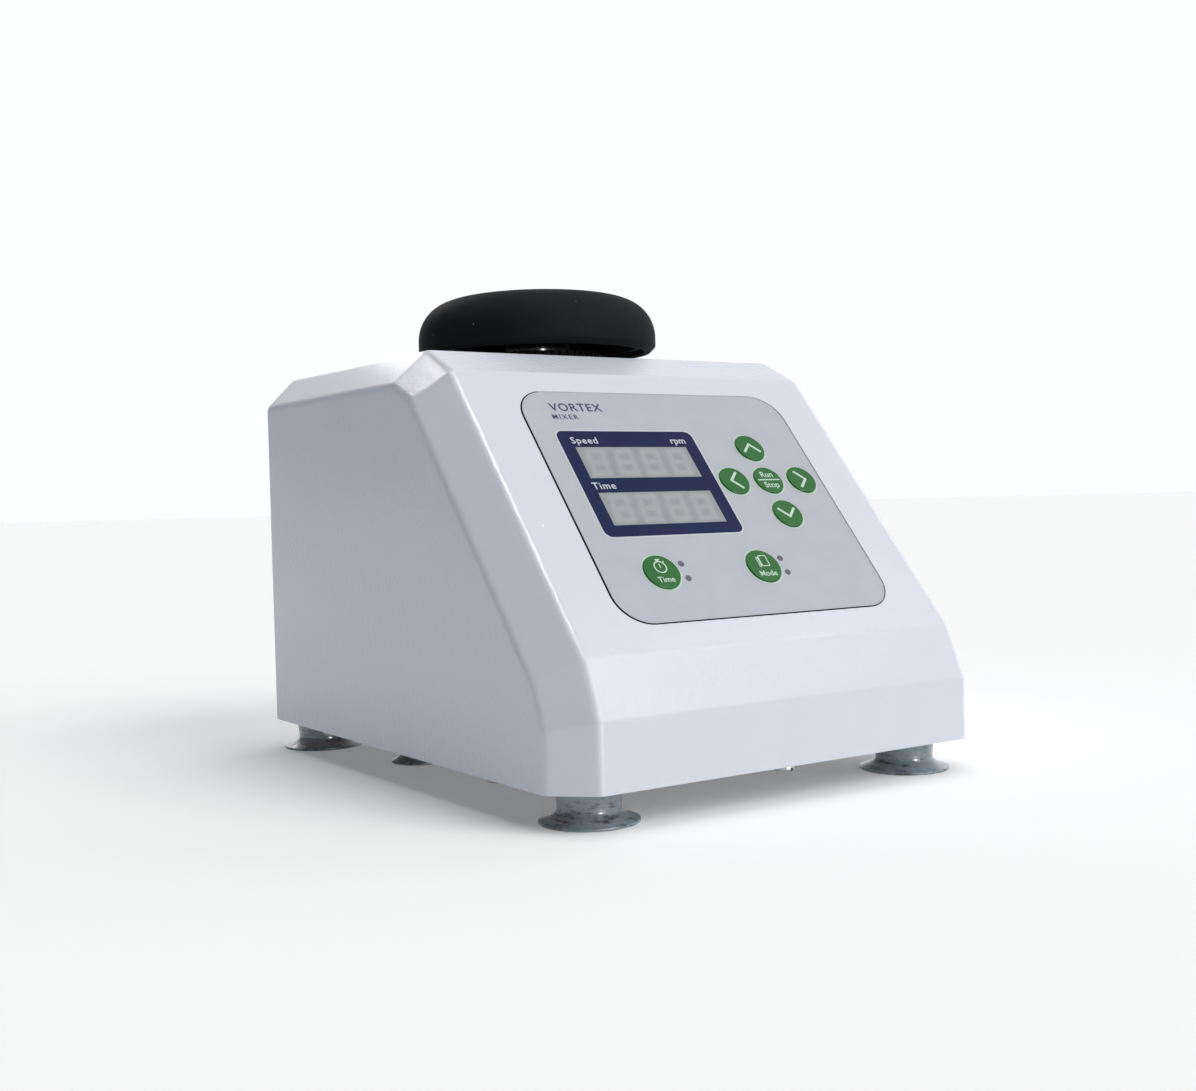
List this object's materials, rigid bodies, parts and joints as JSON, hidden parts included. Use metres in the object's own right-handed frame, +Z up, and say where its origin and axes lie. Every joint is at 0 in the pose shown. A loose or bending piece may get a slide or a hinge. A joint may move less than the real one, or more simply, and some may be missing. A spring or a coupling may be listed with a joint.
{
  "type": "vortex mixer",
  "caption": "Bench vortex mixer: wedge housing on suction feet, rubber head that circles on an eccentric drive and presses down to start, keypad and two displays.",
  "frame": {"origin": "on the bench under the middle of the mixer's outline", "axes": "+Z up, +X to the right of someone who faces the keypad, +Y from the keypad to the rear panel"},
  "size_m": [0.15, 0.1949, 0.153],
  "materials": {
    "white_powder_coat": "fine orange-peel powder coat",
    "base_steel": "zinc-plated sheet",
    "screw_steel": "plated",
    "foot_rubber": "moulded, slightly translucent",
    "head_rubber": "matt moulded",
    "collar_rubber": "matt moulded, ribbed",
    "overlay_film": "printed polyester film",
    "navy_print": "printed polyester film",
    "window_film": "frosted film",
    "key_green": "embossed polyester",
    "lamp_lens": "moulded lens",
    "display_case": "moulded",
    "circuit_board": "solder mask",
    "black_nylon": "moulded",
    "brass": "turned",
    "bronze": "sintered",
    "core_steel": "laminated",
    "shaft_steel": "ground",
    "aluminium": "turned",
    "spring_steel": "drawn wire",
    "fuse_glass": "clear",
    "ribbon_grey": "extruded"
  },
  "bodies": {
    "base": {"base_plate": "base_steel", "base_screws": "screw_steel", "board_screws": "screw_steel", "board_standoffs": "brass", "capacitors": "black_nylon", "control_board": "circuit_board", "display_bezel": "navy_print", "drive_collar": "collar_rubber", "foot_front_left": "foot_rubber", "foot_front_right": "foot_rubber", "foot_rear_left": "foot_rubber", "foot_rear_right": "foot_rubber", "foot_studs": "screw_steel", "guide_pins": "shaft_steel", "housing": "white_powder_coat", "indicator_lamps": "lamp_lens", "inlet_pins": "brass", "keypad_overlay": "overlay_film", "middle_feet": "foot_rubber", "motor_bushes": "bronze", "motor_can": "base_steel", "motor_end_cap": "base_steel", "motor_grommets": "collar_rubber", "motor_plate": "base_steel", "motor_screws": "screw_steel", "motor_spacers": "aluminium", "power_board": "circuit_board", "power_inlet": "black_nylon", "ribbon_cable": "ribbon_grey", "rocker_frame": "black_nylon", "speed_display": "display_case", "speed_window": "window_film", "spring_guide": "black_nylon", "stator": "core_steel", "tact_switches": "black_nylon", "timer_display": "display_case", "timer_window": "window_film", "touch_switch": "black_nylon", "transformer": "core_steel"},
    "press_carriage": {"thrust_cup": "black_nylon", "switch_plunger": "brass", "return_spring": "spring_steel"},
    "rotor": {"motor_shaft": "shaft_steel", "rotor_core": "core_steel", "eccentric_hub": "aluminium", "head_bearing": "shaft_steel"},
    "head": {"head_spindle": "shaft_steel", "head_plate": "aluminium", "head_screw": "screw_steel", "head_cup": "head_rubber"},
    "fuse_carrier": {"fuse_drawer": "black_nylon", "fuse": "fuse_glass"},
    "power_paddle": {"power_rocker": "black_nylon"},
    "up_button": {"key_up": "key_green"},
    "left_button": {"key_left": "key_green"},
    "run_stop_button": {"key_run_stop": "key_green"},
    "right_button": {"key_right": "key_green"},
    "down_button": {"key_down": "key_green"},
    "timer_button": {"key_timer": "key_green"},
    "mode_button": {"key_mode": "key_green"}
  },
  "joints": [
    {"name": "head_press", "type": "slide", "parent": "base", "child": "press_carriage", "axis": [0, 0, -1], "range_m": [0, 0.0015], "stiffness_N_per_m": 8000, "springref_m": -0.002, "deforming": ["return_spring"]},
    {"name": "rotor_spin", "type": "hinge", "parent": "press_carriage", "child": "rotor", "pos_m": [0, 0.0304, 0.1], "axis": [0, 0, 1], "continuous": true},
    {"name": "head_orbit", "type": "hinge", "parent": "rotor", "child": "head", "pos_m": [0, 0.0324, 0.12], "axis": [0, 0, 1], "continuous": true},
    {"name": "up_press", "type": "slide", "parent": "base", "child": "up_button", "axis": [0, 0.766, -0.6428], "range_m": [0, 0.0004], "stiffness_N_per_m": 4000, "springref_m": -0.0001},
    {"name": "left_press", "type": "slide", "parent": "base", "child": "left_button", "axis": [0, 0.766, -0.6428], "range_m": [0, 0.0004], "stiffness_N_per_m": 4000, "springref_m": -0.0001},
    {"name": "run_stop_press", "type": "slide", "parent": "base", "child": "run_stop_button", "axis": [0, 0.766, -0.6428], "range_m": [0, 0.0004], "stiffness_N_per_m": 4000, "springref_m": -0.0001},
    {"name": "right_press", "type": "slide", "parent": "base", "child": "right_button", "axis": [0, 0.766, -0.6428], "range_m": [0, 0.0004], "stiffness_N_per_m": 4000, "springref_m": -0.0001},
    {"name": "down_press", "type": "slide", "parent": "base", "child": "down_button", "axis": [0, 0.766, -0.6428], "range_m": [0, 0.0004], "stiffness_N_per_m": 4000, "springref_m": -0.0001},
    {"name": "timer_press", "type": "slide", "parent": "base", "child": "timer_button", "axis": [0, 0.766, -0.6428], "range_m": [0, 0.0004], "stiffness_N_per_m": 4000, "springref_m": -0.0001},
    {"name": "mode_press", "type": "slide", "parent": "base", "child": "mode_button", "axis": [0, 0.766, -0.6428], "range_m": [0, 0.0004], "stiffness_N_per_m": 4000, "springref_m": -0.0001},
    {"name": "fuse_drawer_slide", "type": "slide", "parent": "base", "child": "fuse_carrier", "axis": [0, 1, 0], "range_m": [0, 0.018]},
    {"name": "power_rocker_tilt", "type": "hinge", "parent": "base", "child": "power_paddle", "pos_m": [-0.032, 0.08945, 0.05], "axis": [1, 0, 0], "range_deg": [0, 16]}
  ],
  "couplings": [
    {"joint": "head_orbit", "follows": "rotor_spin", "ratio": -1}
  ]
}
